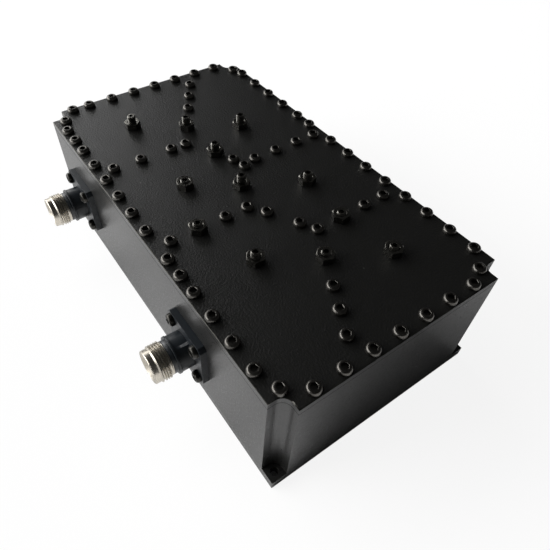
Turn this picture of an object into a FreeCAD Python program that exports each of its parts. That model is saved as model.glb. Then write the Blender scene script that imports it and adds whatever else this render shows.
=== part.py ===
import FreeCAD, Part
import math
import os
import Sketcher

# Six-cavity filter: a milled aluminium housing, a screwed cover with twelve tuning screws,
# six resonator posts inside and two threaded coaxial jacks on one long side.
# Millimetres. The origin is the middle of the four foot holes, on the bottom face.
# X runs along the housing, Y points away from the jacks, Z is up.

os.makedirs("parts", exist_ok=True)
V = FreeCAD.Vector
doc = FreeCAD.newDocument("cavity_filter")

# Driving dimensions
SIZES = {
    "housing_length": 199.0,
    "housing_width": 110.0,
    "body_height": 57.0,
    "cover_thickness": 3.0,
    "cover_edge_break": 0.35,
    "floor_thickness": 6.0,
    "outer_wall": 6.0,
    "inner_wall": 6.0,
    "cavity_corner_radius": 6.0,
    "corner_land": 17.0,
    "window_width": 14.0,
    "window_sill": 20.0,
    "window_overrun": 1.5,
    "shortest_wall_face": 0.5,
    "notch_depth": 7.0,
    "notch_radius": 4.0,
    "foot_height": 5.0,
    "foot_hole_inset": 3.5,
    "foot_hole_radius": 1.7,
    "screw_radius": 1.5,
    "screw_length": 8.0,
    "screw_head_radius": 2.8,
    "screw_head_flat_radius": 1.7,
    "screw_head_side": 0.8,
    "screw_head_height": 2.2,
    "screw_socket_flats": 2.5,
    "screw_socket_depth": 1.3,
    "screw_inset": 3.2,
    "screw_hole_spare": 1.0,
    "flange_hole_spare": 0.2,
    "cut_overrun": 1.0,
    "thread_clearance": 0.05,
    "cover_hole_clearance": 0.15,
    "running_clearance": 0.05,
    "stud_radius": 2.0,
    "stud_socket_flats": 2.0,
    "stud_socket_depth": 1.8,
    "stud_chamfer": 0.35,
    "resonator_stud_reach": 12.0,
    "window_stud_reach": 20.0,
    "nut_flats": 7.0,
    "nut_height": 3.2,
    "nut_chamfer": 0.6,
    "post_radius": 7.0,
    "post_height": 44.0,
    "post_bore_radius": 4.0,
    "post_web": 4.0,
    "post_screw_radius": 2.0,
    "post_screw_head_radius": 3.5,
    "post_screw_head_flat_radius": 3.0,
    "post_screw_head_side": 2.0,
    "post_screw_head_height": 2.6,
    "post_screw_socket_flats": 3.0,
    "post_screw_socket_depth": 1.3,
    "post_screw_depth": 4.6,
    "post_screw_spare": 0.4,
    "jack_height": 29.3,
    "input_tap_aside": 1.6,
    "output_tap_aside": 0.6,
    "flange_width": 25.4,
    "flange_thickness": 3.0,
    "flange_corner_cut": 1.8,
    "flange_hole_pitch": 18.26,
    "jack_body_radius": 8.0,
    "jack_body_end": 8.8,
    "jack_ring_radius": 8.3,
    "jack_ring_end": 9.8,
    "jack_neck_radius": 7.2,
    "jack_neck_end": 11.8,
    "jack_thread_radius": 7.9375,
    "jack_thread_end": 17.0,
    "jack_pilot_start": 17.6,
    "jack_pilot_radius": 7.25,
    "jack_lip_start": 19.7,
    "jack_lip_radius": 6.95,
    "jack_reach": 20.0,
    "jack_bore_radius": 4.3,
    "jack_mouth_radius": 6.5,
    "jack_mouth_depth": 1.6,
    "jack_spigot_radius": 5.5,
    "jack_spigot_length": 5.5,
    "insulator_front": 11.0,
    "insulator_clearance": 0.05,
    "contact_radius": 1.52,
    "contact_front": 15.0,
    "contact_socket_radius": 0.83,
    "contact_socket_depth": 5.0,
    "contact_tail_radius": 0.8,
    "contact_tail_length": 3.5,
    "contact_shoulder_stand": 0.5,
    "tap_radius": 1.5,
    "tap_gap": 0.2,
    "tap_seat": 2.5,
    "tap_cup_spare": 0.3,
}
sheet = doc.addObject("Spreadsheet::Sheet", "Sizes")
for row, (alias, value) in enumerate(SIZES.items(), start=1):
    sheet.set("A%d" % row, alias)
    sheet.set("B%d" % row, str(value))
    sheet.setAlias("B%d" % row, alias)
doc.recompute()


def size(alias):
    return float(sheet.get(alias))


half_length = size("housing_length") / 2
half_width = size("housing_width") / 2
cover_top = size("body_height") + size("cover_thickness")

# Plan positions of the six resonators, in the order that the signal passes them
RESONATORS = {
    "1": (-66.8, -23.4),
    "2": (-38.4, 21.9),
    "3": (-12.2, -24.5),
    "4": (14.7, 22.5),
    "5": (67.4, 23.6),
    "6": (41.4, -24.1),
}
# Coupling windows: the two cavities, then how far the window's own tuning screw stands
# along the wall from its middle, and off the wall's centre line
WINDOWS = [
    ("1", "2", -1.2, 0.0),
    ("2", "3", 0.0, -0.7),
    ("3", "4", -1.3, -2.4),
    ("4", "5", -3.7, 0.0),
    ("3", "6", -9.5, 0.0),
    ("5", "6", 0.9, 0.1),
]
# How far each tuning screw stands above its nut, resonators first and then windows
STUD_HEIGHTS = [3.1, 3.5, 0.6, 2.3, 1.0, 2.3, 3.2, 3.0, 3.3, 0.8, 1.2, 1.0]

# The sides of the box in plan: the axis that each one crosses, and its sign on that axis
SIDES = {"left": (0, -1), "right": (0, 1), "near": (1, -1), "far": (1, 1)}
# Corner screws of the cover: how far each stands in from the end and from the long side
CORNER_SCREWS = {
    "near_left": (11.3, 5.4),
    "far_left": (11.3, 5.2),
    "far_right": (7.0, 10.2),
    "near_right": (9.2, 6.2),
}
# Rows of cover screws along the sides. A row starts and ends this far from the corner screws.
# Between them each place is reached in a number of equal steps.
SIDE_ROWS = {
    "near": (8.5, [(-60.3, 2), (-47.1, 1), (4.2, 4), (22.7, 1), (42.2, 2)], 9.7, 3),
    "far": (6.5, [(-30.2, 4), (-20.4, 1), (-3.6, 1)], 8.3, 7),
    "left": (6.8, [(-33.9, 1)], 8.3, 6),
    "right": (8.9, [], 8.1, 6),
}
# Cover screws over the walls between cavities: places along the wall from its middle, then
# the side that the wall runs to, the last screw's distance from it and the steps to get there
WALL_SCREWS = [
    ("1", "2", [16.2], ("left", 12.8, 2)),
    ("1", "3", [15.0, 7.3, -8.3], ("near", 9.3, 1)),
    ("2", "3", [10.0], None),
    ("3", "4", [12.7], None),
    ("2", "4", [-9.8, 2.4, 14.8], ("far", 7.4, 1)),
    ("3", "6", [14.6, 3.8], ("near", 8.7, 1)),
    ("4", "6", [-7.4, 7.4], None),
    ("4", "5", [-16.3, 10.0], ("far", 10.8, 1)),
    ("5", "6", [15.3], ("right", 12.4, 2)),
]


def wall_point(a, b, along, across=0.0):
    ax, ay = RESONATORS[a]
    bx, by = RESONATORS[b]
    gap = math.hypot(bx - ax, by - ay)
    ux, uy = (bx - ax) / gap, (by - ay) / gap
    return ((ax + bx) / 2 - along * uy + across * ux, (ay + by) / 2 + along * ux + across * uy)


def along_at(a, b, axis, value):
    # the distance along the wall at which it reaches a given x (axis 0) or y (axis 1)
    start = wall_point(a, b, 0.0)[axis]
    step = wall_point(a, b, 1.0)[axis] - start
    return (value - start) / step


def spread(first, last, steps):
    return [first + (last - first) * i / steps for i in range(steps + 1)]


def cavity_outline(name):
    # the ground nearer to this resonator than to any other, less half a wall, cut to the housing
    cx, cy = RESONATORS[name]
    inner_x = half_length - size("outer_wall")
    inner_y = half_width - size("outer_wall")
    outline = [(-inner_x, -inner_y), (inner_x, -inner_y), (inner_x, inner_y), (-inner_x, inner_y)]
    cuts = []
    for sx in (-1, 1):
        for sy in (-1, 1):
            slope = math.sqrt(0.5)
            reach = slope * (half_length + half_width) - size("corner_land")
            cuts.append((sx * slope, sy * slope, reach))
    for other, (ox, oy) in RESONATORS.items():
        if other != name:
            gap = math.hypot(ox - cx, oy - cy)
            ux, uy = (ox - cx) / gap, (oy - cy) / gap
            reach = ux * (cx + ox) / 2 + uy * (cy + oy) / 2 - size("inner_wall") / 2
            cuts.append((ux, uy, reach))
    for ux, uy, reach in cuts:
        kept = []
        for i, (px, py) in enumerate(outline):
            qx, qy = outline[(i + 1) % len(outline)]
            p_over = ux * px + uy * py - reach
            q_over = ux * qx + uy * qy - reach
            if p_over <= 0:
                kept.append((px, py))
            if p_over * q_over < 0:
                share = p_over / (p_over - q_over)
                kept.append((px + share * (qx - px), py + share * (qy - py)))
        outline = kept
    shortest = size("shortest_wall_face")
    return [p for i, p in enumerate(outline) if math.dist(p, outline[i - 1]) > shortest]


def side_place(side, inset):
    # the coordinate that lies this far in from a side
    axis, sign = SIDES[side]
    return sign * ((half_length, half_width)[axis] - inset)


def corner_screw(corner):
    across, along = corner.split("_")
    from_end, from_side = CORNER_SCREWS[corner]
    return (side_place(along, from_end), side_place(across, from_side))


def side_row(side, start, end):
    first, stations, last, last_steps = SIDE_ROWS[side]
    places = [start + first]
    for station, steps in stations + [(end - last, last_steps)]:
        places += spread(places[-1], station, steps)[1:]
    return places


def cover_screw_points():
    corners = {name: corner_screw(name) for name in CORNER_SCREWS}
    points = list(corners.values())
    inset = size("screw_inset")
    for side in ("near", "far"):
        row = side_row(side, corners[side + "_left"][0], corners[side + "_right"][0])
        points += [(x, side_place(side, inset)) for x in row]
    for side in ("left", "right"):
        row = side_row(side, corners["near_" + side][1], corners["far_" + side][1])
        points += [(side_place(side, inset), y) for y in row]
    for a, b, places, run_out in WALL_SCREWS:
        if run_out:
            side, from_side, steps = run_out
            last = along_at(a, b, SIDES[side][0], side_place(side, from_side))
            places = places + spread(places[-1], last, steps)[1:]
        points += [wall_point(a, b, s) for s in places]
    return points


screw_points = cover_screw_points()
resonator_points = list(RESONATORS.values())
window_points = [wall_point(a, b, along, across) for a, b, along, across in WINDOWS]
tuner_points = resonator_points + window_points
foot_x = half_length - size("foot_hole_inset")
foot_y = half_width - size("foot_hole_inset")
foot_points = [(sx * foot_x, sy * foot_y) for sx in (-1, 1) for sy in (-1, 1)]
input_jack = (RESONATORS["1"][0] + size("input_tap_aside"), size("jack_height"))
output_jack = (RESONATORS["6"][0] + size("output_tap_aside"), size("jack_height"))
jack_points = [input_jack, output_jack]
flange_reach = size("flange_hole_pitch") / 2
flange_points = [
    (x + sx * flange_reach, z + sz * flange_reach)
    for x, z in jack_points for sx in (-1, 1) for sz in (-1, 1)
]


def new_body(label, place=V(0, 0, 0), turn=FreeCAD.Rotation()):
    body = doc.addObject("PartDesign::Body", label)
    body.Label = label
    body.Placement = FreeCAD.Placement(place, turn)
    return body


def new_sketch(body, name, role, offset="0"):
    # the sketch lies on one of the body's own planes, moved along that plane's normal
    sketch = body.newObject("Sketcher::SketchObject", name)
    plane = [item for item in body.Origin.OriginFeatures if item.Role == role][0]
    sketch.AttachmentSupport = [(plane, "")]
    sketch.MapMode = "FlatFace"
    sketch.setExpression("AttachmentOffset.Base.z", offset)
    return sketch


def draw_rectangle(sketch, width, height):
    # a rectangle about the sketch's origin: any shape to start with, then the two sizes
    first = sketch.GeometryCount
    corners = [V(-9, -5, 0), V(9, -5, 0), V(9, 5, 0), V(-9, 5, 0)]
    for i in range(4):
        sketch.addGeometry(Part.LineSegment(corners[i], corners[(i + 1) % 4]), False)
    for i in range(4):
        here = first + i
        following = first + (i + 1) % 4
        sketch.addConstraint(Sketcher.Constraint("Coincident", here, 2, following, 1))
        sketch.addConstraint(Sketcher.Constraint("Horizontal" if i % 2 == 0 else "Vertical", here))
    sketch.addConstraint(Sketcher.Constraint("Symmetric", first, 1, first + 2, 1, -1, 1))
    across = sketch.addConstraint(Sketcher.Constraint("DistanceX", first, 1, first, 2, 18))
    upward = sketch.addConstraint(Sketcher.Constraint("DistanceY", first + 1, 1, first + 1, 2, 10))
    sketch.setExpression("Constraints[%d]" % across, width)
    sketch.setExpression("Constraints[%d]" % upward, height)


def draw_circles(sketch, points, radius):
    # equal circles, one radius between them
    first = sketch.GeometryCount
    for x, y in points:
        sketch.addGeometry(Part.Circle(V(x, y, 0), V(0, 0, 1), 1.0), False)
    for i in range(1, len(points)):
        sketch.addConstraint(Sketcher.Constraint("Equal", first, first + i))
    driver = sketch.addConstraint(Sketcher.Constraint("Radius", first, 1.0))
    sketch.setExpression("Constraints[%d]" % driver, radius)
    for i, (x, y) in enumerate(points):
        sketch.addConstraint(Sketcher.Constraint("DistanceX", -1, 1, first + i, 3, x))
        sketch.addConstraint(Sketcher.Constraint("DistanceY", -1, 1, first + i, 3, y))


def draw_outline(sketch, points):
    for i, (x, y) in enumerate(points):
        following = points[(i + 1) % len(points)]
        sketch.addGeometry(Part.LineSegment(V(x, y, 0), V(following[0], following[1], 0)), False)


def draw_rounded(sketch, points, radii):
    # a closed outline whose corners are arcs of the given radii
    ends = []
    for i, (x, y) in enumerate(points):
        corner = V(x, y, 0)
        before = (V(*points[i - 1], 0) - corner).normalize()
        after = (V(*points[(i + 1) % len(points)], 0) - corner).normalize()
        half_angle = before.getAngle(after) / 2
        setback = radii[i] / math.tan(half_angle)
        middle = (before + after).normalize()
        centre = corner + middle * (radii[i] / math.sin(half_angle))
        start = corner + before * setback
        end = corner + after * setback
        if radii[i] > 0:
            sketch.addGeometry(Part.Arc(start, centre - middle * radii[i], end), False)
        ends.append((start, end))
    for i, (start, end) in enumerate(ends):
        sketch.addGeometry(Part.LineSegment(end, ends[(i + 1) % len(ends)][0]), False)


def draw_hexagon(sketch, flats):
    corner = size(flats) / math.sqrt(3)
    angles = [math.radians(60 * i) for i in range(6)]
    draw_outline(sketch, [(corner * math.cos(a), corner * math.sin(a)) for a in angles])


def pad(body, sketch, length):
    feature = body.newObject("PartDesign::Pad", "Pad")
    feature.Profile = sketch
    feature.setExpression("Length", length)
    return feature


def pocket(body, sketch, length):
    # cuts against the sketch's normal
    feature = body.newObject("PartDesign::Pocket", "Pocket")
    feature.Profile = sketch
    feature.setExpression("Length", length)
    return feature


def revolve(body, profile, kind="PartDesign::Revolution"):
    # turns (radius, height) points about the body's Z axis
    sketch = new_sketch(body, "Profile", "XZ_Plane")
    draw_outline(sketch, profile)
    feature = body.newObject(kind, "Turned")
    feature.Profile = sketch
    feature.ReferenceAxis = (sketch, ["V_Axis"])
    feature.Angle = 360.0
    return feature


def copies(label, source, places):
    # separate solids of one fastener under one name
    group = doc.addObject("Part::Feature", label)
    group.Label = label
    placed = []
    for place in places:
        solid = source.copy()
        solid.Placement = place
        placed.append(solid)
    group.Shape = Part.makeCompound(placed)
    return group


def draw_notches(sketch):
    # one square bite with a rounded inner corner at each corner of the box
    beyond = size("cut_overrun")
    for sx in (-1, 1):
        for sy in (-1, 1):
            x_in = sx * (half_length - size("notch_depth"))
            y_in = sy * (half_width - size("notch_depth"))
            x_out = sx * (half_length + beyond)
            y_out = sy * (half_width + beyond)
            outline = [(x_in, y_in), (x_out, y_in), (x_out, y_out), (x_in, y_out)]
            draw_rounded(sketch, outline, [size("notch_radius"), 0.0, 0.0, 0.0])


def make_housing():
    body = new_body("housing")
    block = new_sketch(body, "Block", "XY_Plane")
    draw_rectangle(block, "Sizes.housing_length", "Sizes.housing_width")
    pad(body, block, "Sizes.body_height")
    notches = new_sketch(body, "Notches", "XY_Plane", "Sizes.body_height")
    draw_notches(notches)
    pocket(body, notches, "Sizes.body_height - Sizes.foot_height")
    cavities = new_sketch(body, "Cavities", "XY_Plane", "Sizes.body_height")
    for name in RESONATORS:
        outline = cavity_outline(name)
        draw_rounded(cavities, outline, [size("cavity_corner_radius")] * len(outline))
    pocket(body, cavities, "Sizes.body_height - Sizes.floor_thickness")
    # each window is a slot through its wall, open at the top
    windows = new_sketch(body, "Windows", "XY_Plane", "Sizes.body_height")
    half_slot = size("window_width") / 2
    half_wall = size("inner_wall") / 2 + size("window_overrun")
    for a, b, along, across in WINDOWS:
        draw_outline(windows, [
            wall_point(a, b, along - half_slot, -half_wall),
            wall_point(a, b, along + half_slot, -half_wall),
            wall_point(a, b, along + half_slot, half_wall),
            wall_point(a, b, along - half_slot, half_wall),
        ])
    pocket(body, windows, "Sizes.body_height - Sizes.window_sill")
    # tapped holes for the cover, the posts and the jacks
    cover_holes = new_sketch(body, "CoverHoles", "XY_Plane", "Sizes.body_height")
    draw_circles(cover_holes, screw_points, "Sizes.screw_radius + Sizes.thread_clearance")
    pocket(body, cover_holes, "Sizes.screw_length - Sizes.cover_thickness + Sizes.screw_hole_spare")
    post_holes = new_sketch(body, "PostHoles", "XY_Plane", "Sizes.floor_thickness")
    draw_circles(post_holes, resonator_points, "Sizes.post_screw_radius + Sizes.thread_clearance")
    pocket(body, post_holes, "Sizes.post_screw_depth + Sizes.post_screw_spare")
    feet = new_sketch(body, "FootHoles", "XY_Plane", "Sizes.foot_height")
    draw_circles(feet, foot_points, "Sizes.foot_hole_radius")
    pocket(body, feet, "Sizes.foot_height")
    jack_holes = new_sketch(body, "JackHoles", "XZ_Plane", "Sizes.housing_width / 2")
    draw_circles(jack_holes, jack_points, "Sizes.jack_spigot_radius + Sizes.thread_clearance")
    pocket(body, jack_holes, "Sizes.outer_wall + Sizes.cut_overrun")
    flange_holes = new_sketch(body, "FlangeHoles", "XZ_Plane", "Sizes.housing_width / 2")
    draw_circles(flange_holes, flange_points, "Sizes.screw_radius + Sizes.thread_clearance")
    pocket(body, flange_holes, "Sizes.screw_length - Sizes.flange_thickness + Sizes.flange_hole_spare")


def make_cover():
    body = new_body("cover", V(0, 0, size("body_height")))
    plate = new_sketch(body, "Plate", "XY_Plane")
    draw_rectangle(plate, "Sizes.housing_length", "Sizes.housing_width")
    pad(body, plate, "Sizes.cover_thickness")
    notches = new_sketch(body, "Notches", "XY_Plane", "Sizes.cover_thickness")
    draw_notches(notches)
    pocket(body, notches, "Sizes.cover_thickness")
    doc.recompute()
    blank = body.Tip
    outer = []
    for i, edge in enumerate(blank.Shape.Edges, start=1):
        if abs(edge.BoundBox.ZMin - size("cover_thickness")) < 0.001:
            outer.append("Edge%d" % i)
    rim = body.newObject("PartDesign::Chamfer", "EdgeBreak")
    rim.Base = (blank, outer)
    rim.setExpression("Size", "Sizes.cover_edge_break")
    holes = new_sketch(body, "ScrewHoles", "XY_Plane", "Sizes.cover_thickness")
    draw_circles(holes, screw_points, "Sizes.screw_radius + Sizes.cover_hole_clearance")
    pocket(body, holes, "Sizes.cover_thickness")
    tuners = new_sketch(body, "TunerHoles", "XY_Plane", "Sizes.cover_thickness")
    draw_circles(tuners, tuner_points, "Sizes.stud_radius + Sizes.running_clearance")
    pocket(body, tuners, "Sizes.cover_thickness")


def domed_screw(name, kind, length):
    # a socket screw whose head stands on the plane z = 0: an upright side, then a round shoulder
    body = doc.addObject("PartDesign::Body", name)
    profile = new_sketch(body, "Profile", "XZ_Plane")
    radius = size(kind + "_radius")
    head = size(kind + "_head_radius")
    flat = size(kind + "_head_flat_radius")
    side = size(kind + "_head_side")
    top = size(kind + "_head_height")
    corners = [V(0, -length, 0), V(radius, -length, 0), V(radius, 0, 0), V(head, 0, 0),
               V(head, side, 0), V(flat, top, 0), V(0, top, 0)]
    for i in (0, 1, 2, 3, 5, 6):
        profile.addGeometry(Part.LineSegment(corners[i], corners[(i + 1) % 7]), False)
    inward = head - flat
    shoulder = (inward ** 2 + (top - side) ** 2) / (2 * inward)
    half_angle = math.asin((top - side) / shoulder) / 2
    middle = V(head - shoulder * (1 - math.cos(half_angle)), side + shoulder * math.sin(half_angle), 0)
    profile.addGeometry(Part.Arc(corners[4], middle, corners[5]), False)
    turned = body.newObject("PartDesign::Revolution", "Turned")
    turned.Profile = profile
    turned.ReferenceAxis = (profile, ["V_Axis"])
    turned.Angle = 360.0
    socket = new_sketch(body, "Socket", "XY_Plane", "Sizes.%s_head_height" % kind)
    draw_hexagon(socket, kind + "_socket_flats")
    pocket(body, socket, "Sizes.%s_socket_depth" % kind)
    doc.recompute()
    return body.Shape


def make_cover_screws():
    shape = domed_screw("CoverScrew", "screw", size("screw_length"))
    upright = [FreeCAD.Placement(V(x, y, cover_top), FreeCAD.Rotation()) for x, y in screw_points]
    copies("cover_screws", shape, upright)
    outward = FreeCAD.Rotation(V(1, 0, 0), 90)
    front = -half_width - size("flange_thickness")
    copies("flange_screws", shape, [FreeCAD.Placement(V(x, front, z), outward) for x, z in flange_points])


def make_post_screws():
    shape = domed_screw("PostScrew", "post_screw", size("post_web") + size("post_screw_depth"))
    seat = size("floor_thickness") + size("post_web")
    places = [FreeCAD.Placement(V(x, y, seat), FreeCAD.Rotation()) for x, y in resonator_points]
    copies("resonator_screws", shape, places)


def make_tuning_screw(number, point, stand, reach):
    # a stud with a hexagon socket; the plane z = 0 of its own frame is the top of the cover
    body = new_body("tuning_screw_%02d" % number, V(point[0], point[1], cover_top))
    radius = size("stud_radius")
    low = -size("cover_thickness") - reach
    high = size("nut_height") + stand
    edge = size("stud_chamfer")
    revolve(body, [(0, low), (radius, low), (radius, high - edge), (radius - edge, high), (0, high)])
    socket = new_sketch(body, "Socket", "XY_Plane", str(high))
    draw_hexagon(socket, "stud_socket_flats")
    pocket(body, socket, "Sizes.stud_socket_depth")


def make_lock_nuts():
    body = doc.addObject("PartDesign::Body", "LockNut")
    outline = new_sketch(body, "Hexagon", "XY_Plane")
    draw_hexagon(outline, "nut_flats")
    pad(body, outline, "Sizes.nut_height")
    hole = new_sketch(body, "Hole", "XY_Plane", "Sizes.nut_height")
    draw_circles(hole, [(0.0, 0.0)], "Sizes.stud_radius + Sizes.running_clearance")
    pocket(body, hole, "Sizes.nut_height")
    corner = size("nut_flats") / math.sqrt(3)
    top = size("nut_height")
    inner = size("nut_flats") / 2
    drop = size("nut_chamfer")
    beyond = size("cut_overrun")
    outer = corner + beyond
    slope = drop / (corner - inner)
    revolve(body, [(inner, top), (outer, top - slope * (outer - inner)), (outer, top + beyond),
                   (inner, top + beyond)], "PartDesign::Groove")
    doc.recompute()
    # nuts end up turned anyhow, each one this many degrees further than the last
    turn = 17.0
    places = []
    for i, (x, y) in enumerate(tuner_points):
        places.append(FreeCAD.Placement(V(x, y, cover_top), FreeCAD.Rotation(V(0, 0, 1), turn * i)))
    copies("lock_nuts", body.Shape, places)


def make_post(name, point, tap_aside=None):
    body = new_body("resonator_post_" + name, V(point[0], point[1], size("floor_thickness")))
    outer = size("post_radius")
    bore = size("post_bore_radius")
    hole = size("post_screw_radius") + size("thread_clearance")
    web = size("post_web")
    top = size("post_height")
    revolve(body, [(hole, 0), (outer, 0), (outer, top), (bore, top), (bore, web), (hole, web)])
    if tap_aside is not None:
        # the first and the last post take the rod that comes from the jack
        tap = new_sketch(body, "TapHole", "XZ_Plane", "Sizes.post_radius + Sizes.cut_overrun")
        level = size("jack_height") - size("floor_thickness")
        draw_circles(tap, [(tap_aside, level)], "Sizes.tap_radius + Sizes.thread_clearance")
        pocket(body, tap, "Sizes.post_radius - Sizes.post_bore_radius + Sizes.cut_overrun")


def make_jack(label, point):
    # the plane z = 0 of its own frame is the back of the flange, and z runs out of the mouth
    outward = FreeCAD.Rotation(V(1, 0, 0), 90)
    place = V(point[0], -half_width, point[1])
    body = new_body(label + "_jack_shell", place, outward)
    plate = new_sketch(body, "Flange", "XY_Plane")
    reach = size("flange_width") / 2
    cut = reach - size("flange_corner_cut")
    draw_outline(plate, [(cut, -reach), (reach, -cut), (reach, cut), (cut, reach),
                         (-cut, reach), (-reach, cut), (-reach, -cut), (-cut, -reach)])
    pad(body, plate, "Sizes.flange_thickness")
    revolve(body, [
        (0, -size("jack_spigot_length")),
        (size("jack_spigot_radius"), -size("jack_spigot_length")),
        (size("jack_spigot_radius"), 0.5 * size("flange_thickness")),
        (size("jack_body_radius"), 0.5 * size("flange_thickness")),
        (size("jack_body_radius"), size("jack_body_end")),
        (size("jack_ring_radius"), size("jack_body_end")),
        (size("jack_ring_radius"), size("jack_ring_end")),
        (size("jack_neck_radius"), size("jack_ring_end")),
        (size("jack_neck_radius"), size("jack_neck_end")),
        (size("jack_thread_radius"), size("jack_neck_end")),
        (size("jack_thread_radius"), size("jack_thread_end")),
        (size("jack_pilot_radius"), size("jack_pilot_start")),
        (size("jack_pilot_radius"), size("jack_lip_start")),
        (size("jack_lip_radius"), size("jack_reach")),
        (0, size("jack_reach")),
    ])
    bore = size("jack_bore_radius")
    beyond = size("cut_overrun")
    revolve(body, [
        (0, -size("jack_spigot_length") - beyond),
        (bore, -size("jack_spigot_length") - beyond),
        (bore, size("jack_reach") - size("jack_mouth_depth")),
        (size("jack_mouth_radius"), size("jack_reach")),
        (size("jack_mouth_radius"), size("jack_reach") + beyond),
        (0, size("jack_reach") + beyond),
    ], "PartDesign::Groove")
    holes = new_sketch(body, "FlangeHoles", "XY_Plane", "Sizes.flange_thickness")
    corners = [(sx * flange_reach, sz * flange_reach) for sx in (-1, 1) for sz in (-1, 1)]
    draw_circles(holes, corners, "Sizes.screw_radius + Sizes.cover_hole_clearance")
    pocket(body, holes, "Sizes.flange_thickness")

    insulator = new_body(label + "_jack_insulator", place, outward)
    inside = size("contact_radius") + size("insulator_clearance")
    around = bore - size("insulator_clearance")
    back = -size("jack_spigot_length")
    front = size("insulator_front")
    revolve(insulator, [(inside, back), (around, back), (around, front), (inside, front)])

    contact = new_body(label + "_jack_contact", place, outward)
    radius = size("contact_radius")
    socket = size("contact_socket_radius")
    tail = size("contact_tail_radius")
    shoulder = back - size("contact_shoulder_stand")
    tail_end = shoulder - size("contact_tail_length")
    tip = size("contact_front")
    bottom = tip - size("contact_socket_depth")
    revolve(contact, [(0, tail_end), (tail, tail_end), (tail, shoulder), (radius, shoulder),
                      (radius, tip), (socket, tip), (socket, bottom), (0, bottom)])


def make_tap(label, point, post):
    # a rod from the jack's contact to the post, with a cup for the contact's tail
    outward = FreeCAD.Rotation(V(1, 0, 0), 90)
    rod = new_body(label + "_tap_rod", V(point[0], -half_width, point[1]), outward)
    start = -size("jack_spigot_length") - size("contact_shoulder_stand") - size("tap_gap")
    aside = point[0] - post[0]
    skin = math.sqrt(size("post_radius") ** 2 - aside ** 2)
    end = -(post[1] + half_width - skin) - size("tap_seat")
    radius = size("tap_radius")
    cup = size("contact_tail_radius") + size("thread_clearance")
    cup_end = start - size("contact_tail_length") - size("tap_cup_spare")
    revolve(rod, [(0, end), (radius, end), (radius, start), (cup, start), (cup, cup_end), (0, cup_end)])


make_housing()
make_cover()
make_cover_screws()
make_lock_nuts()
make_post_screws()
for number, point in enumerate(tuner_points, start=1):
    at_window = number > len(resonator_points)
    reach = size("window_stud_reach") if at_window else size("resonator_stud_reach")
    make_tuning_screw(number, point, STUD_HEIGHTS[number - 1], reach)
tap_asides = {"1": size("input_tap_aside"), "6": size("output_tap_aside")}
for name, point in RESONATORS.items():
    make_post(name, point, tap_asides.get(name))
make_jack("input", input_jack)
make_jack("output", output_jack)
make_tap("input", input_jack, RESONATORS["1"])
make_tap("output", output_jack, RESONATORS["6"])
doc.recompute()

# Only a sound object is written
sub_parts = ["housing", "cover", "cover_screws", "lock_nuts", "resonator_screws", "flange_screws"]
sub_parts += ["tuning_screw_%02d" % number for number in range(1, len(tuner_points) + 1)]
sub_parts += ["resonator_post_" + name for name in RESONATORS]
for end in ("input", "output"):
    sub_parts += [end + "_jack_shell", end + "_jack_insulator", end + "_jack_contact", end + "_tap_rod"]
for item in doc.Objects:
    if "Invalid" in item.State or "Error" in item.State:
        raise RuntimeError("failed object: " + item.Label)
for label in sub_parts:
    part = doc.getObjectsByLabel(label)[0]
    if part.Shape.isNull() or not part.Shape.isValid():
        raise RuntimeError("bad shape: " + label)
    part.Shape.exportStep("parts/%s.step" % label)
    print(label, len(part.Shape.Solids), round(part.Shape.Volume, 2))
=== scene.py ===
import bmesh
import bpy
import math
import random
from mathutils import Matrix, Vector


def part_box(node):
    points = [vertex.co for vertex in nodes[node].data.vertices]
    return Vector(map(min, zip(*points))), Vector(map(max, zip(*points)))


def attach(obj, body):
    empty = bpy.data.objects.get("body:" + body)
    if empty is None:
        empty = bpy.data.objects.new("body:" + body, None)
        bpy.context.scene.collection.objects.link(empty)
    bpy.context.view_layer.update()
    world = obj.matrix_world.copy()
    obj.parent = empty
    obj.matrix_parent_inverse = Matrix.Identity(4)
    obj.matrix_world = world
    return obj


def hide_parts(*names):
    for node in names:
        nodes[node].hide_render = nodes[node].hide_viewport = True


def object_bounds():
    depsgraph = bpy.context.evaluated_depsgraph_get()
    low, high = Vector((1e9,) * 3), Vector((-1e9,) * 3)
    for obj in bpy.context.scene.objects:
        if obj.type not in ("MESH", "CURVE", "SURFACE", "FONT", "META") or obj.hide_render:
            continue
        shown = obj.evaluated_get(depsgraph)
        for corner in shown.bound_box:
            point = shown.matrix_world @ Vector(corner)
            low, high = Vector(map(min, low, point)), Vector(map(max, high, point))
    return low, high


# Looks of a six-cavity filter: a black sprayed housing and cover, blackened screws, nuts
# and tuning studs, and two coaxial jacks with bare nickel threads.
# Sizes below are millimetres; a finished mesh is scaled to metres.

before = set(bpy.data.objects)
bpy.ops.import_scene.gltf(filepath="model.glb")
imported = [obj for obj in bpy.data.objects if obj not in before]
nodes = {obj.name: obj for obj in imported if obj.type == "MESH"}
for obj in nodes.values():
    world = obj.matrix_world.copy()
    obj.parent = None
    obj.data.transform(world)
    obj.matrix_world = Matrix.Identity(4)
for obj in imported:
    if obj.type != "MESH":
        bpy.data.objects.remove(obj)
cadLow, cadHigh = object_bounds()
toMetres = 0.001
weldCad = 1e-6  # metres: points of a CAD mesh closer than this are one
weld = 1e-4  # the same in the millimetre meshes made here
onPlane = 0.05  # a point this near to a plane counts as on it
sharpEdge = 25  # degrees between two faces from which their edge is rounded
print("frame loaded,", len(nodes), "nodes")


# Shared helpers

def linear(hexColour):
    # an sRGB hex colour as linear values with full alpha
    channels = [int(hexColour[i:i + 2], 16) / 255 for i in (1, 3, 5)]
    return tuple(c / 12.92 if c <= 0.04045 else ((c + 0.055) / 1.055) ** 2.4 for c in channels) + (1.0,)


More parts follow.
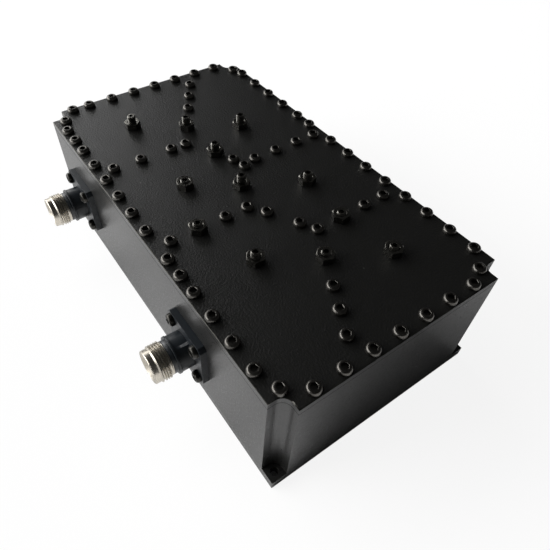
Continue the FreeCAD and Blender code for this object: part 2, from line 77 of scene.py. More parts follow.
def addNode(tree, kind, settings=(), links=()):
    # settings are names of inputs or of the node's own choices, links are (input, socket) pairs
    node = tree.nodes.new(kind)
    for name, value in dict(settings).items():
        if isinstance(name, int) or name in node.inputs:
            node.inputs[name].default_value = value
        else:
            setattr(node, name, value)
    for name, socket in links:
        tree.links.new(socket, node.inputs[name])
    return node


def newMaterial(name):
    material = bpy.data.materials.new(name)
    material.use_nodes = True
    tree = material.node_tree
    tree.nodes.clear()
    return material, tree


def perMillimetre(size):
    # a texture scale whose features are about this many millimetres across
    return 1.0 / (size * toMetres)


def boxOf(node):
    low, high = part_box(node)
    return Vector(low) / toMetres, Vector(high) / toMetres


def solidsOf(node):
    # every separate solid of a CAD node: its points, in millimetres
    bm = bmesh.new()
    bm.from_mesh(nodes[node].data)
    bmesh.ops.remove_doubles(bm, verts=bm.verts, dist=weldCad)
    seen = set()
    solids = []
    for start in bm.verts:
        if start in seen:
            continue
        seen.add(start)
        group = [start]
        for vert in group:
            for edge in vert.link_edges:
                other = edge.other_vert(vert)
                if other not in seen:
                    seen.add(other)
                    group.append(other)
        solids.append([v.co / toMetres for v in group])
    bm.free()
    return solids


def middleOf(points):
    # the middle and the two corners of the box round these points
    low = Vector(min(p[i] for p in points) for i in range(3))
    high = Vector(max(p[i] for p in points) for i in range(3))
    return (low + high) / 2, low, high


def mergedCopy(node):
    # a CAD node's mesh in millimetres, its flat faces in one piece each
    bm = bmesh.new()
    bm.from_mesh(nodes[node].data)
    bmesh.ops.remove_doubles(bm, verts=bm.verts, dist=weldCad)
    bmesh.ops.scale(bm, vec=(1 / toMetres,) * 3, verts=bm.verts)
    bmesh.ops.dissolve_limit(bm, angle_limit=math.radians(0.4), verts=bm.verts, edges=bm.edges)
    return bm


def spun(profile, steps):
    # (radius, height) points turned about Z into a shell
    bm = bmesh.new()
    verts = [bm.verts.new((radius, 0, height)) for radius, height in profile]
    edges = [bm.edges.new(pair) for pair in zip(verts, verts[1:])]
    bmesh.ops.spin(bm, geom=verts + edges, cent=(0, 0, 0), axis=(0, 0, 1), angle=2 * math.pi,
                   steps=steps, use_merge=True)
    bmesh.ops.remove_doubles(bm, verts=bm.verts, dist=weld)
    bmesh.ops.recalc_face_normals(bm, faces=bm.faces)
    return bm


def bevelEdges(bm, edges, width):
    # rounds these edges and returns the new faces
    made = bmesh.ops.bevel(bm, geom=edges, offset=width, offset_type="OFFSET", segments=2,
                           profile=0.5, affect="EDGES", material=-1, clamp_overlap=True)
    return made["faces"]


def isSharp(edge):
    return len(edge.link_faces) == 2 and edge.calc_face_angle(0) > math.radians(sharpEdge)


def cutLevel(bm, height, normal=1, clearOuter=False):
    # a level cut through the whole mesh; clearOuter drops what lies beyond it
    bmesh.ops.bisect_plane(bm, geom=bm.verts[:] + bm.edges[:] + bm.faces[:], plane_co=(0, 0, height),
                           plane_no=(0, 0, normal), clear_outer=clearOuter)


def placed(source, matrix, bm):
    # adds a copy of a mesh to bm at a place
    first = len(bm.verts)
    bm.from_mesh(source)
    bm.verts.ensure_lookup_table()
    bmesh.ops.transform(bm, matrix=matrix, verts=bm.verts[first:])


def asMesh(bm, name):
    mesh = bpy.data.meshes.new(name)
    bm.to_mesh(mesh)
    bm.free()
    return mesh


def finished(name, bm, materials, body, node, sharpAngle=30, flatFaces=False):
    # The mesh becomes a piece that rides on a body and stands for a CAD node.
    # flatFaces keeps the shading of big flat faces even beside small rounded edges.
    bmesh.ops.scale(bm, vec=(toMetres,) * 3, verts=bm.verts)
    mesh = asMesh(bm, name)
    for material in materials:
        mesh.materials.append(material)
    mesh.shade_smooth()
    mesh.set_sharp_from_angle(angle=math.radians(sharpAngle))
    piece = bpy.data.objects.new(name, mesh)
    bpy.context.scene.collection.objects.link(piece)
    if flatFaces:
        weighted = piece.modifiers.new("flatFaces", "WEIGHTED_NORMAL")
        weighted.keep_sharp = True
    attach(piece, body)
    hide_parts(node)


# Camera

camera = {
    "place": (145.00, -100.01, 200.63),
    "heading": 143.55,  # degrees from +X to the line of sight, seen from above
    "dip": 49.54,  # degrees that it looks down
    "roll": 2.18,
    "lens": 32.40,
    "shift": (0.0345, 0.0055),
}
cameraData = bpy.data.cameras.new("camera")
cameraData.lens = camera["lens"]
cameraData.shift_x, cameraData.shift_y = camera["shift"]
cameraData.clip_start = 0.01
cameraData.clip_end = 20
cameraObject = bpy.data.objects.new("camera", cameraData)
bpy.context.scene.collection.objects.link(cameraObject)
cameraObject.matrix_world = (
    Matrix.Translation(Vector(camera["place"]) * toMetres)
    @ Matrix.Rotation(math.radians(camera["heading"] - 90), 4, "Z")
    @ Matrix.Rotation(math.radians(90 - camera["dip"]), 4, "X")
    @ Matrix.Rotation(math.radians(camera["roll"]), 4, "Z")
)
bpy.context.scene.camera = cameraObject
bpy.context.scene.view_settings.view_transform = "Standard"


# Floor, backdrop and lights

studio = {
    # lengths here are metres
    "floorHalf": 3.0,
    "floorDrop": 0.0003,
    "patchInset": 0.0005,  # of the patch of floor under the part, from the ends of the box
    "patchHalfWidth": 0.0545,
    "patchDrop": 0.0001,
    "floorColour": "#f6f6f6",
    "floorTint": "#fbfbfb",
    "floorWhiteness": 0.88,  # share of plain white that the camera sees over the lit floor
    "fillStrength": 0.05,  # the room's own soft light
    "horizonStrength": 0.12,  # what gloss sees low down, and overhead
    "ceilingStrength": 0.04,
    "horizonTop": 0.10,  # sines of the heights where the horizon ends and the ceiling starts
    "ceilingStart": 0.32,
    "lampDistance": 1.4,
    "lampAim": 0.03,  # height of the point that every lamp faces
}
# Softboxes: heading from +X and height in degrees, width and height in metres, watts,
# and whether gloss mirrors them. The key stands beyond the input end, low and to the side.
lamps = {
    "keySoftbox": (186, 24, (1.1, 0.6), 6.8, True),
    "highFill": (190, 45, (0.9, 0.6), 8.0, False),
    "jackSideSoftbox": (236, 18, (1.9, 0.7), 24.0, True),
    "jackSideFill": (238, 32, (1.0, 0.6), 18.0, False),
}


def seenDirectly(tree, path):
    # 1 for what the camera sees, straight or through glass
    seen = addNode(tree, "ShaderNodeMath", {"operation": "MAXIMUM"},
                   [(0, path.outputs["Is Camera Ray"]), (1, path.outputs["Is Transmission Ray"])])
    return seen.outputs[0]


def paperMaterial(name, whiteness):
    # Matt white sweep. The camera sees it whitened, so only a pale shadow is left,
    # and gloss sees the lit paper itself, shadow and all.
    material, tree = newMaterial(name)
    noise = addNode(tree, "ShaderNodeTexNoise", {"Scale": 6.0, "Detail": 2.0})
    tone = addNode(tree, "ShaderNodeMix",
                   {"data_type": "RGBA", 6: linear(studio["floorColour"]), 7: linear(studio["floorTint"])},
                   [(0, noise.outputs["Fac"])])
    paper = addNode(tree, "ShaderNodeBsdfDiffuse", {"Roughness": 0.6}, [("Color", tone.outputs[2])])
    white = addNode(tree, "ShaderNodeEmission", {"Color": (1, 1, 1, 1), "Strength": 1.0})
    path = addNode(tree, "ShaderNodeLightPath")
    share = addNode(tree, "ShaderNodeMath", {"operation": "MULTIPLY", 1: whiteness},
                    [(0, seenDirectly(tree, path))])
    shown = addNode(tree, "ShaderNodeMixShader", {},
                    [(0, share.outputs[0]), (1, paper.outputs[0]), (2, white.outputs[0])])
    addNode(tree, "ShaderNodeOutputMaterial", {}, [("Surface", shown.outputs[0])])
    return material


def makeFloor(name, halfLength, halfWidth, drop, whiteness):
    bm = bmesh.new()
    bmesh.ops.create_grid(bm, x_segments=1, y_segments=1, size=1)
    bmesh.ops.scale(bm, vec=(halfLength, halfWidth, 1), verts=bm.verts)
    bmesh.ops.translate(bm, vec=(0, 0, -drop), verts=bm.verts)
    floor = bpy.data.objects.new(name, asMesh(bm, name))
    bpy.context.scene.collection.objects.link(floor)
    floor.data.materials.append(paperMaterial(name + "Paper", whiteness))


def makeWorld():
    world = bpy.data.worlds.new("studio")
    bpy.context.scene.world = world
    world.use_nodes = True
    tree = world.node_tree
    tree.nodes.clear()
    # white for the camera and glass; for gloss a pale horizon under a dim ceiling
    place = addNode(tree, "ShaderNodeTexCoord")
    parts = addNode(tree, "ShaderNodeSeparateXYZ", {}, [(0, place.outputs["Generated"])])
    height = addNode(tree, "ShaderNodeMapRange",
                     {"From Min": studio["horizonTop"], "From Max": studio["ceilingStart"],
                      "To Min": studio["horizonStrength"], "To Max": studio["ceilingStrength"]},
                     [("Value", parts.outputs["Z"])])
    path = addNode(tree, "ShaderNodeLightPath")
    gloss = addNode(tree, "ShaderNodeMix", {"data_type": "FLOAT", 2: studio["fillStrength"]},
                    [(0, path.outputs["Is Glossy Ray"]), (3, height.outputs[0])])
    strength = addNode(tree, "ShaderNodeMix", {"data_type": "FLOAT", 3: 1.0},
                       [(0, seenDirectly(tree, path)), (2, gloss.outputs[0])])
    background = addNode(tree, "ShaderNodeBackground", {"Color": (1, 1, 1, 1)},
                         [("Strength", strength.outputs[0])])
    addNode(tree, "ShaderNodeOutputWorld", {}, [("Surface", background.outputs[0])])


def addLamp(name, heading, height, size, power, gloss):
    lamp = bpy.data.lights.new(name, "AREA")
    lamp.shape = "RECTANGLE"
    lamp.size, lamp.size_y = size
    lamp.energy = power
    holder = bpy.data.objects.new(name, lamp)
    bpy.context.scene.collection.objects.link(holder)
    turn, rise = math.radians(heading), math.radians(height)
    outward = Vector((math.cos(turn) * math.cos(rise), math.sin(turn) * math.cos(rise), math.sin(rise)))
    holder.location = outward * studio["lampDistance"]
    inward = Vector((0, 0, studio["lampAim"])) - holder.location
    holder.rotation_euler = inward.to_track_quat("-Z", "Y").to_euler()
    holder.visible_glossy = gloss


makeFloor("floor", studio["floorHalf"], studio["floorHalf"], studio["floorDrop"], studio["floorWhiteness"])
# under the part the paper keeps its true tone, so that the foot holes stay dark
patchHalfLength = cadHigh[0] - studio["patchInset"]
makeFloor("floorUnderPart", patchHalfLength, studio["patchHalfWidth"], studio["patchDrop"], 0.0)
makeWorld()
for name, settings in lamps.items():
    addLamp(name, *settings)
print("studio done")


# Finishes

def noisePattern(tree, here, size, detail, roughness=0.5):
    # a cloudy pattern whose patches are about size millimetres across
    noise = addNode(tree, "ShaderNodeTexNoise",
                    {"Scale": perMillimetre(size), "Detail": detail, "Roughness": roughness},
                    [("Vector", here)])
    return noise.outputs["Fac"]


def mixedColour(tree, factor, colour, tint):
    mix = addNode(tree, "ShaderNodeMix", {"data_type": "RGBA", 6: linear(colour), 7: linear(tint)},
                  [(0, factor)])
    return mix.outputs[2]


def glossFrom(tree, pattern, low, high):
    # roughness that follows a noise pattern, whose values lie mostly between 0.3 and 0.7
    gloss = addNode(tree, "ShaderNodeMapRange",
                    {"From Min": 0.3, "From Max": 0.7, "To Min": low, "To Max": high}, [("Value", pattern)])
    return gloss.outputs[0]


def bumpFrom(tree, pattern, depth):
    bump = addNode(tree, "ShaderNodeBump", {"Strength": 1.0, "Distance": depth * toMetres},
                   [("Height", pattern)])
    return bump.outputs[0]


paint = {
    "driftSize": 38,  # slow change of tone over a face
    "cellSize": 4.2,  # a cell may hold one speck of dust
    "speckSize": 0.055,  # share of a cell
    "speckColour": "#6d6c68",
    "smoother": 0.05,  # how far the grain takes the roughness below and above its own value
    "rougher": 0.06,
}


def sprayedPaint(name, colour, tint, roughness, grain, grainDepth, specks):
    # Air-dried satin black on machined aluminium: dark, slightly dusty, with a fine orange-peel
    # grain that breaks up the sheen. The real grain is finer than a pixel, so it is drawn coarser.
    material, tree = newMaterial(name)
    here = addNode(tree, "ShaderNodeTexCoord").outputs["Object"]
    peel = noisePattern(tree, here, grain, 3.0, 0.6)
    drift = noisePattern(tree, here, paint["driftSize"], 4.0, 0.55)
    tone = mixedColour(tree, drift, colour, tint)
    # sparse dust: small pale dots in a few cells of a Voronoi pattern
    cells = addNode(tree, "ShaderNodeTexVoronoi",
                    {"Scale": perMillimetre(paint["cellSize"]), "Randomness": 1.0}, [("Vector", here)])
    near = addNode(tree, "ShaderNodeMath", {"operation": "LESS_THAN", 1: paint["speckSize"]},
                   [(0, cells.outputs["Distance"])])
    chosen = addNode(tree, "ShaderNodeSeparateColor", {}, [(0, cells.outputs["Color"])])
    few = addNode(tree, "ShaderNodeMath", {"operation": "LESS_THAN", 1: specks}, [(0, chosen.outputs[0])])
    dust = addNode(tree, "ShaderNodeMath", {"operation": "MULTIPLY"},
                   [(0, near.outputs[0]), (1, few.outputs[0])])
    dusty = addNode(tree, "ShaderNodeMix", {"data_type": "RGBA", 7: linear(paint["speckColour"])},
                    [(0, dust.outputs[0]), (6, tone)])
    gloss = glossFrom(tree, peel, roughness - paint["smoother"], roughness + paint["rougher"])
    coat = addNode(tree, "ShaderNodeBsdfPrincipled", {"IOR": 1.5},
                   [("Base Color", dusty.outputs[2]), ("Roughness", gloss),
                    ("Normal", bumpFrom(tree, peel, grainDepth))])
    addNode(tree, "ShaderNodeOutputMaterial", {}, [("Surface", coat.outputs[0])])
    return material


metalPatch = 3.5  # size of the patches in which a metal's tone and gloss wander


def platedMetal(name, colour, tint, roughness, spread, grain, grainDepth):
    # A metal skin whose tone and gloss wander a little, with a fine scratchy bump.
    material, tree = newMaterial(name)
    here = addNode(tree, "ShaderNodeTexCoord").outputs["Object"]
    patch = noisePattern(tree, here, metalPatch, 3.0)
    fine = noisePattern(tree, here, grain, 2.0)
    metal = addNode(tree, "ShaderNodeBsdfPrincipled", {"Metallic": 1.0},
                    [("Base Color", mixedColour(tree, patch, colour, tint)),
                     ("Roughness", glossFrom(tree, patch, roughness - spread, roughness + spread)),
                     ("Normal", bumpFrom(tree, fine, grainDepth))])
    addNode(tree, "ShaderNodeOutputMaterial", {}, [("Surface", metal.outputs[0])])
    return material


def whitePolymer(name, colour, tint, roughness, grain, grainDepth):
    # Turned PTFE: waxy white with soft highlights.
    material, tree = newMaterial(name)
    here = addNode(tree, "ShaderNodeTexCoord").outputs["Object"]
    rings = noisePattern(tree, here, grain, 2.0)
    wax = addNode(tree, "ShaderNodeBsdfPrincipled", {"IOR": 1.36, "Roughness": roughness},
                  [("Base Color", mixedColour(tree, rings, colour, tint)),
                   ("Normal", bumpFrom(tree, rings, grainDepth))])
    addNode(tree, "ShaderNodeOutputMaterial", {}, [("Surface", wax.outputs[0])])
    return material


# Paints, each with its name, colour, tint, roughness, grain, depth of grain and share of specks.
# Cover: near black with a visible grain and a broad sheen towards the key light
coverPaint = sprayedPaint("satinBlackCoverPaint", "#090908", "#0f0f0e", 0.45, 0.8, 0.220, 0.04)
# Housing: the same black on smooth milled walls, so it mirrors the room as soft greys
sidePaint = sprayedPaint("satinBlackHousingPaint", "#151515", "#1b1b1a", 0.31, 0.9, 0.008, 0.0)
# Jacks: a faintly blue black with an even sheen
jackPaint = sprayedPaint("satinBlackJackPaint", "#0d1013", "#171b1f", 0.40, 0.6, 0.012, 0.0)
# Painted shade in the joint under the cover: matt and nearly black
jointShadePaint = sprayedPaint("mattBlackPaintedJointShade", "#040404", "#080808", 0.85, 0.6, 0.010, 0.0)
# Metals, each with its name, colour, tint, roughness, spread of roughness, grain and its depth.
# Paint rubbed thin along the arrises, drawn as a greyer, smoother line: partly wear where the metal starts to
# show, partly a painted highlight along the edges
edgeWearAndHighlightPaint = platedMetal("rubbedEdgeAndPaintedHighlight", "#2e2e2c", "#5a5955", 0.42, 0.08, 0.5, 0.01)
# Black oxide on socket screws: charcoal steel with a soft broad highlight; the screws at the jacks use a
# darker copy of it, which is painted shade
blackOxide = platedMetal("blackOxideSteel", "#545350", "#625f5b", 0.34, 0.05, 0.35, 0.004)
shadedFlangeOxide = platedMetal("shadedBlackOxideSteel", "#33322f", "#403f3c", 0.34, 0.05, 0.35, 0.004)
# Oiled blackened nuts and studs: glossier, so their edges glint
oiledBlack = platedMetal("oiledBlackSteel", "#5c5b57", "#7b7973", 0.27, 0.06, 0.3, 0.004)
# Bright nickel on brass: warm silver with sharp bands of reflection
brightNickel = platedMetal("brightNickelPlate", "#b0a99d", "#c2bdb2", 0.35, 0.05, 0.5, 0.002)
# Silver plate on milled aluminium: pale, soft and slightly milky
silverPlate = platedMetal("milkySilverPlate", "#cfccc4", "#dcdad3", 0.34, 0.07, 0.4, 0.008)
# Thin gold on the jack contacts: a warm, clear yellow glint
goldPlate = platedMetal("thinGoldPlate", "#d9a94e", "#e3b964", 0.22, 0.05, 0.4, 0.004)
# Zinc on the screws inside: a flat, cool grey
plainSteel = platedMetal("zincPlatedSteel", "#9a9a98", "#b0b0ad", 0.36, 0.07, 0.4, 0.008)
# Insulators: a soft, waxy white
whiteInsulator = whitePolymer("turnedWhitePtfe", "#e9e7e0", "#f3f2ee", 0.45, 0.8, 0.01)
print("finishes done")


# Housing and cover

block = {
    "arris": 0.30,  # rounding of the outer arrises
    # the joint's walls below are painted near black: painted shade in the joint
    "joint": 0.32,  # edge break on top of the housing, which draws the joint as a dark line
    "notch": 7.2,  # size of the corner notches, with a little to spare
    "level": 0.9,  # a face with at least this much Z in its normal is level,
    "wall": 0.5,  # one with less than this is a wall
    "upright": 0.2,  # and one with less than this is upright
    "sharpAngle": 50,
}
housingLow, housingHigh = boxOf("housing")
seamHeight = boxOf("cover")[0].z


def onSkin(point):
    # true on the outer faces and in the corner notches
    byX = housingHigh.x - abs(point.x)
    byY = housingHigh.y - abs(point.y)
    onFace = byX < onPlane or byY < onPlane or point.z < onPlane
    return onFace or (byX < block["notch"] and byY < block["notch"])


def atSeam(point):
    return abs(point.z - seamHeight) < onPlane


def makeHousing():
    bm = mergedCopy("housing")
    finishes = [sidePaint, edgeWearAndHighlightPaint, silverPlate, jointShadePaint]
    outside, wornAndHighlit, plated, joint = range(len(finishes))
    for face in bm.faces:
        middle = face.calc_center_median()
        onJoint = face.normal.z > block["level"] and atSeam(middle)
        face.material_index = outside if onSkin(middle) and not onJoint else plated
    arrises = [e for e in bm.edges if isSharp(e) and all(onSkin(v.co) for v in e.verts)]
    rounded = [e for e in arrises if not all(atSeam(v.co) for v in e.verts)
               and not all(v.co.z < onPlane for v in e.verts)]
    # the rounded arrises take the lighter edge finish: part wear, part painted highlight
    for face in bevelEdges(bm, rounded, block["arris"]):
        face.material_index = wornAndHighlit
    # the joint: a level cut just under the cover, and the rim above it drawn inwards
    cutLevel(bm, seamHeight - block["joint"])
    rim = [v for v in bm.verts if atSeam(v.co) and onSkin(v.co)]
    walls = {v: [f for f in v.link_faces if abs(f.normal.z) < block["wall"]] for v in rim}
    inward = {v: -sum((f.normal for f in faces), Vector()).normalized() for v, faces in walls.items()}
    for vert, way in inward.items():
        vert.co += way * block["joint"]
    # the groove's walls take the near-black joint paint: painted shade in the joint
    for faces in walls.values():
        for face in faces:
            face.material_index = joint
    finished("housingBlock", bm, finishes, "filter_body", "housing",
             block["sharpAngle"], True)


def makeCover():
    bm = mergedCopy("cover")
    finishes = [coverPaint, edgeWearAndHighlightPaint, silverPlate, sidePaint]
    top, wornAndHighlit, plated, side = range(len(finishes))
    for face in bm.faces:
        face.material_index = top
        if abs(face.normal.z) < block["upright"] and onSkin(face.calc_center_median()):
            face.material_index = side
        # the cover's edge chamfers take the lighter edge finish: part wear, part painted highlight
        elif block["upright"] < face.normal.z < block["level"]:
            face.material_index = wornAndHighlit
        elif face.normal.z < -block["level"]:
            face.material_index = plated
    finished("coverPlate", bm, finishes, "filter_body", "cover",
             block["sharpAngle"], True)


makeHousing()
makeCover()
print("housing and cover done")


# Screws

screw = {
    "steps": 24,
    "shank": 1.5,
    "headHeight": 2.2,
    "side": 0.8,  # upright part of the head's side
    "flat": 1.7,  # radius of the flat on top of the dome
    "foot": 0.12,  # chamfer under the head
    "tip": 0.3,  # chamfer at the shank's end
    "domeSteps": 7,
    "inset": 0.05,  # first ring inside the flat, from which the socket is drawn
    "socketFlats": 2.5,
    "socketDepth": 1.3,
    "socketRim": 0.10,
}


def hexReach(angle, flats):
    # distance from the middle to a hexagon's side, corners at 0, 60, 120 ... degrees
    offCorner = (angle + math.pi / 6) % (math.pi / 3) - math.pi / 6
    return flats / 2 / math.cos(math.pi / 6 - abs(offCorner))


def screwMesh(shankLength, headRadius):
    # the plane z = 0 is under the head
    shank, side, flat, top = (screw[name] for name in ("shank", "side", "flat", "headHeight"))
    tip, foot = screw["tip"], screw["foot"]
    profile = [(0, -shankLength), (shank - tip, -shankLength), (shank, tip - shankLength), (shank, 0),
               (headRadius - foot, 0), (headRadius, foot), (headRadius, side)]
    for i in range(1, screw["domeSteps"]):
        angle = math.pi / 2 * i / screw["domeSteps"]
        profile.append((flat + (headRadius - flat) * math.cos(angle), side + (top - side) * math.sin(angle)))
    profile += [(flat, top), (0, top)]
    bm = spun(profile, screw["steps"])
    # the socket: the top disc is inset, its rim drawn to a hexagon and pushed down
    disc = [f for f in bm.faces if f.normal.z > block["level"] and f.calc_center_median().z > top - weld]
    disc = bmesh.ops.dissolve_faces(bm, faces=disc)["region"]
    bmesh.ops.inset_region(bm, faces=disc, thickness=screw["inset"])
    rim = screw["socketRim"]
    for drop, flats in ((0, screw["socketFlats"] + 2 * rim), (rim, screw["socketFlats"]),
                        (screw["socketDepth"], screw["socketFlats"])):
        if drop:
            disc = bmesh.ops.extrude_discrete_faces(bm, faces=disc)["faces"]
        for vert in disc[0].verts:
            angle = math.atan2(vert.co.y, vert.co.x)
            reach = hexReach(angle, flats)
            vert.co = (reach * math.cos(angle), reach * math.sin(angle), top - drop)
    bmesh.ops.poke(bm, faces=disc)
    bmesh.ops.recalc_face_normals(bm, faces=bm.faces)
    return asMesh(bm, "screw")


def makeScrews(name, node, outward, seed, material):
    # one screw mesh, put at each solid of the node and turned by chance as screws are
    solids = [middleOf(points) for points in solidsOf(node)]
    solids.sort(key=lambda found: (round(found[0].x, 2), round(found[0].y, 2), round(found[0].z, 2)))
    chance = random.Random(seed)
    turn = Vector((0, 0, 1)).rotation_difference(outward).to_matrix().to_4x4()
    low, high = solids[0][1:]
    along = abs((high - low).dot(outward))
    source = screwMesh(along - screw["headHeight"], (high.x - low.x) / 2)
    bm = bmesh.new()
    for middle, low, high in solids:
        seat = middle + outward * (along / 2 - screw["headHeight"])
        place = Matrix.Translation(seat) @ turn @ Matrix.Rotation(chance.uniform(0, math.pi / 3), 4, "Z")
        placed(source, place, bm)
    finished(name, bm, [material], "filter_body", node)


makeScrews("coverScrews", "cover_screws", Vector((0, 0, 1)), 11, blackOxide)
# the flange screws take the darker copy of the black oxide: painted shade
makeScrews("flangeScrews", "flange_screws", Vector((0, -1, 0)), 12, shadedFlangeOxide)
print("screws done")


# Lock nuts

nut = {
    "steps": 48,
    "topRing": 3.42,  # radius of the flat ring left by the corner chamfer
    "slope": 0.577,  # a 30 degree chamfer
    "countersink": 0.35,
}


def nutMesh(flats, height, bore):
    bm = bmesh.new()
    bmesh.ops.create_circle(bm, segments=nut["steps"], radius=bore)
    edges = list(bm.edges)
    ring, slope = nut["topRing"], nut["slope"]
    # radius and height of each loop of points, up the bore, over the top and back to the bore's foot
    loops = [
        lambda a: (bore, height - nut["countersink"]),
        lambda a: (bore + nut["countersink"], height),
        lambda a: (ring, height),
        lambda a: (hexReach(a, flats), height - (hexReach(a, flats) - ring) * slope),
        lambda a: (hexReach(a, flats), (hexReach(a, flats) - ring) * slope),
        lambda a: (ring, 0.0),
        lambda a: (bore, 0.0),
    ]
    for shape in loops:
        made = bmesh.ops.extrude_edge_only(bm, edges=edges)["geom"]
        edges = [e for e in made if isinstance(e, bmesh.types.BMEdge)]
        for vert in {v for e in edges for v in e.verts}:
            angle = math.atan2(vert.co.y, vert.co.x)
            reach, level = shape(angle)
            vert.co = (reach * math.cos(angle), reach * math.sin(angle), level)
    bmesh.ops.remove_doubles(bm, verts=bm.verts, dist=weld)
    bmesh.ops.recalc_face_normals(bm, faces=bm.faces)
    return asMesh(bm, "nut")


def makeNuts():
    bm = bmesh.new()
    source = None
    for points in solidsOf("lock_nuts"):
        middle, low, high = middleOf(points)
        flat = [p.xy - middle.xy for p in points]
        corner = max(flat, key=lambda p: p.length)
        bore = min(p.length for p in flat)
        source = source or nutMesh(corner.length * math.sqrt(3), high.z - low.z, bore)
        turn = Matrix.Rotation(math.atan2(corner.y, corner.x), 4, "Z")
        placed(source, Matrix.Translation((middle.x, middle.y, low.z)) @ turn, bm)
    finished("lockNuts", bm, [oiledBlack], "filter_body", "lock_nuts")


makeNuts()
print("nuts done")


# Tuning studs

stud = {
    "pitch": 0.7,
    "rootShare": 0.80,  # root radius as a share of the outer one
    "steps": 20,  # to a turn
    "weld": 1e-3,
    "chamfer": 0.35,
    "socketFlats": 2.0,
    "socketDepth": 1.8,
}


def threadedRod(radius, root, pitch, low, high, steps):
    # one pitch of the thread's outline, screwed up the axis, then cut level at both ends
    bm = bmesh.new()
    outline = [(root, 0.0), (root, 0.22), (radius, 0.52), (radius, 0.70), (root, 1.0)]  # shares of a pitch
    verts = [bm.verts.new((r, 0, low - pitch + share * pitch)) for r, share in outline]
    edges = [bm.edges.new(pair) for pair in zip(verts, verts[1:])]
    turns = math.ceil((high - low) / pitch) + 2
    bmesh.ops.spin(bm, geom=verts + edges, cent=(0, 0, 0), axis=(0, 0, 1), dvec=(0, 0, pitch / steps),
                   angle=2 * math.pi * turns, steps=steps * turns, use_merge=False)
    bmesh.ops.remove_doubles(bm, verts=bm.verts, dist=stud["weld"])
    cutLevel(bm, low, -1, True)
    cutLevel(bm, high, 1, True)
    return bm


def studMesh(radius, low, high):
    bm = threadedRod(radius, radius * stud["rootShare"], stud["pitch"], low, high, stud["steps"])
    chamferStart = high - stud["chamfer"]
    cutLevel(bm, chamferStart)
    for vert in bm.verts:
        limit = radius - max(vert.co.z - chamferStart, 0)
        reach = vert.co.xy.length
        if reach > limit:
            vert.co.x *= limit / reach
            vert.co.y *= limit / reach
    bmesh.ops.holes_fill(bm, edges=[e for e in bm.edges if e.is_boundary], sides=0)
    bmesh.ops.recalc_face_normals(bm, faces=bm.faces)
    return asMesh(bm, "stud")


def cutBy(mesh, cutter):
    # the mesh less the cutter, as a new mesh
    body = bpy.data.objects.new("cutBody", mesh)
    tool = bpy.data.objects.new("cutTool", cutter)
    for item in (body, tool):
        bpy.context.scene.collection.objects.link(item)
    cut = body.modifiers.new("cut", "BOOLEAN")
    cut.operation = "DIFFERENCE"
    cut.solver = "EXACT"
    cut.object = tool
    shape = bpy.data.meshes.new_from_object(body.evaluated_get(bpy.context.evaluated_depsgraph_get()))
    for item in (body, tool):
        bpy.data.objects.remove(item)
    return shape


def makeStud(node, number):
    middle, low, high = middleOf([p for points in solidsOf(node) for p in points])
    radius = (high.x - low.x) / 2
    mesh = studMesh(radius, low.z, high.z)
    socket = bmesh.new()
    corner = stud["socketFlats"] / math.sqrt(3)
    bmesh.ops.create_cone(socket, cap_ends=True, segments=6, radius1=corner, radius2=corner,
                          depth=2 * stud["socketDepth"])
    turn = Matrix.Rotation(random.Random(number).uniform(0, math.pi / 3), 4, "Z")
    bmesh.ops.transform(socket, matrix=Matrix.Translation((0, 0, high.z)) @ turn, verts=socket.verts)
    mesh = cutBy(mesh, asMesh(socket, "socket"))
    bm = bmesh.new()
    placed(mesh, Matrix.Translation((middle.x, middle.y, 0)), bm)
    finished("tuningStud_%02d" % number, bm, [oiledBlack], "tuner_%02d" % number, node)


tunerCount = 12
for number in range(1, tunerCount + 1):
    makeStud("tuning_screw_%02d" % number, number)
print("studs done")


# Coaxial jacks

# Radii, and distances out from the housing's wall
jack = {
    "steps": 64,
    "neckEnd": 11.8,
    "overlap": 0.02,  # how far the bare barrel reaches back into the painted body
    "boreRadius": 4.3,
    "threadRadius": 7.9375,
    "threadRoot": 7.25,
    "threadPitch": 25.4 / 24,
    "threadEnd": 17.0,
    "threadSteps": 48,  # to a turn
    "ridgeSink": 0.06,  # how deep the ridge sits in the root, and how far from the neck it starts
    "ridgeGap": 0.05,
    "runOut": 0.3,  # turns over which the ridge rises at either end
    "leastRidge": 0.05,
    "pilotStart": 17.6,
    "pilotRadius": 7.25,
    "lipStart": 19.7,
    "lipRadius": 6.95,
    "mouthRadius": 6.5,
    "mouthDepth": 1.6,
    "flangeThickness": 3.0,
    "flangeSide": 10.5,  # edges of the flange farther out than this are rounded
    "flangeRound": 0.12,
    "bodySide": 7.0,
    "bodyRound": 0.10,
}


def threadRidge(bm):
    # the ridge of the screw thread: a small outline screwed round the barrel, run out at both ends
    pitch = jack["threadPitch"]
    root = jack["threadRoot"] - jack["ridgeSink"]
    start = jack["neckEnd"] + jack["ridgeGap"]
    turns = (jack["threadEnd"] - start) / pitch - 1.0
    steps = round(jack["threadSteps"] * turns)
    before = set(bm.verts)
    crest = jack["threadRadius"]
    outline = [(root, 0.02), (crest, 0.38), (crest, 0.58), (root, 0.94)]  # shares of a pitch
    face = bm.faces.new([bm.verts.new((r, 0, start + share * pitch)) for r, share in outline])
    bmesh.ops.spin(bm, geom=[face], cent=(0, 0, 0), axis=(0, 0, 1), dvec=(0, 0, turns * pitch / steps),
                   angle=2 * math.pi * turns, steps=steps, use_merge=False)
    for vert in set(bm.verts) - before:
        climbed = (vert.co.z - start) / pitch
        turned = climbed - (climbed - math.atan2(vert.co.y, vert.co.x) / (2 * math.pi)) % 1
        runOut = min(max(min(turned, turns - turned) / jack["runOut"], jack["leastRidge"]), 1)
        reach = vert.co.xy.length
        share = (root + (reach - root) * runOut) / reach
        vert.co.x *= share
        vert.co.y *= share


def sharpWithin(bm, low, high, isOut):
    # sharp edges between two heights whose ends are both far enough out
    return [e for e in bm.edges if isSharp(e) and all(low < v.co.z < high and isOut(v.co) for v in e.verts)]


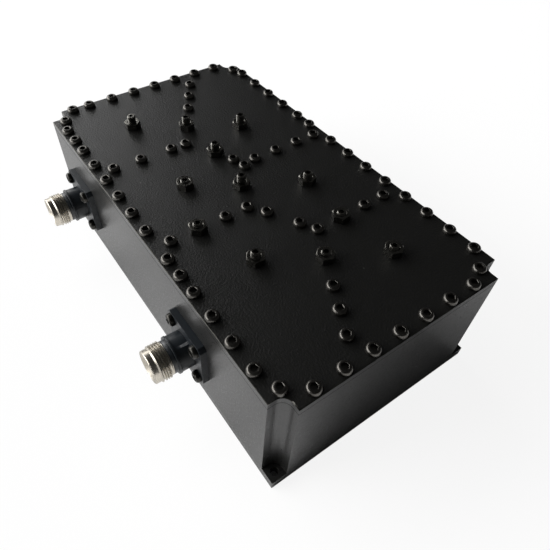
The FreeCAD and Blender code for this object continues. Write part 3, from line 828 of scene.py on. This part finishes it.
def makeJackRear(label, node, place, bodyName):
    # Flange, body and neck are the CAD solid, cut off where the thread starts. Heights run out
    # from the housing's wall, and a little room is left so that only whole edges are taken.
    bm = mergedCopy(node)
    bmesh.ops.transform(bm, matrix=place.inverted(), verts=bm.verts)
    cutLevel(bm, jack["neckEnd"] - jack["overlap"], 1, True)
    bmesh.ops.triangle_fill(bm, use_beauty=True, edges=[e for e in bm.edges if e.is_boundary])
    thick, flangeSide = jack["flangeThickness"], jack["flangeSide"]
    flangeEdges = sharpWithin(bm, -0.01, thick + 0.01, lambda p: max(abs(p.x), abs(p.y)) > flangeSide)
    bevelEdges(bm, flangeEdges, jack["flangeRound"])
    bodyEdges = sharpWithin(bm, thick + 0.5, jack["neckEnd"] - 0.1, lambda p: p.xy.length > jack["bodySide"])
    bevelEdges(bm, bodyEdges, jack["bodyRound"])
    bmesh.ops.recalc_face_normals(bm, faces=bm.faces)
    bmesh.ops.transform(bm, matrix=place, verts=bm.verts)
    finished(label + "JackRear", bm, [jackPaint], bodyName, node, block["sharpAngle"], True)


def makeJackThread(label, node, place, end, bodyName):
    # The bare barrel: a root under the thread, a collar where it ends, a pilot and the mouth.
    # The small offsets are the chamfers of collar, lip and mouth.
    back = jack["neckEnd"] - jack["overlap"]
    root, crest, bore = jack["threadRoot"], jack["threadRadius"], jack["boreRadius"]
    collar, pilot, lip, mouth = jack["threadEnd"], jack["pilotRadius"], jack["lipRadius"], jack["mouthRadius"]
    bm = spun([
        (bore, back), (root, back), (root, collar - 0.5),
        (crest - 0.1, collar - 0.25), (crest - 0.02, collar),
        (pilot, jack["pilotStart"]), (pilot, jack["lipStart"]),
        (lip + 0.1, end - 0.05), (lip - 0.05, end),
        (mouth + 0.1, end), (mouth - 0.02, end - 0.12),
        (bore, end - jack["mouthDepth"]), (bore, back),
    ], jack["steps"])
    threadRidge(bm)
    bmesh.ops.recalc_face_normals(bm, faces=bm.faces)
    bmesh.ops.transform(bm, matrix=place, verts=bm.verts)
    finished(label + "JackThread", bm, [brightNickel], bodyName, node)


def makeJack(label, bodyName):
    node = label + "_jack_shell"
    low, high = boxOf(node)
    back = housingLow.y
    turn = Matrix.Rotation(math.pi / 2, 4, "X")
    place = Matrix.Translation(((low.x + high.x) / 2, back, (low.z + high.z) / 2)) @ turn
    makeJackRear(label, node, place, bodyName)
    makeJackThread(label, node, place, back - low.y, bodyName)


for label in ("input", "output"):
    makeJack(label, "filter_body")
print("jacks done")


# Finishes for the CAD nodes that stay

def finishNode(node, material):
    nodes[node].data.materials.clear()
    nodes[node].data.materials.append(material)


for label in ("input", "output"):
    finishNode(label + "_jack_insulator", whiteInsulator)
    finishNode(label + "_jack_contact", goldPlate)
    finishNode(label + "_tap_rod", silverPlate)
postCount = 6
for number in range(1, postCount + 1):
    finishNode("resonator_post_%d" % number, silverPlate)
finishNode("resonator_screws", plainSteel)
print("CAD nodes finished")
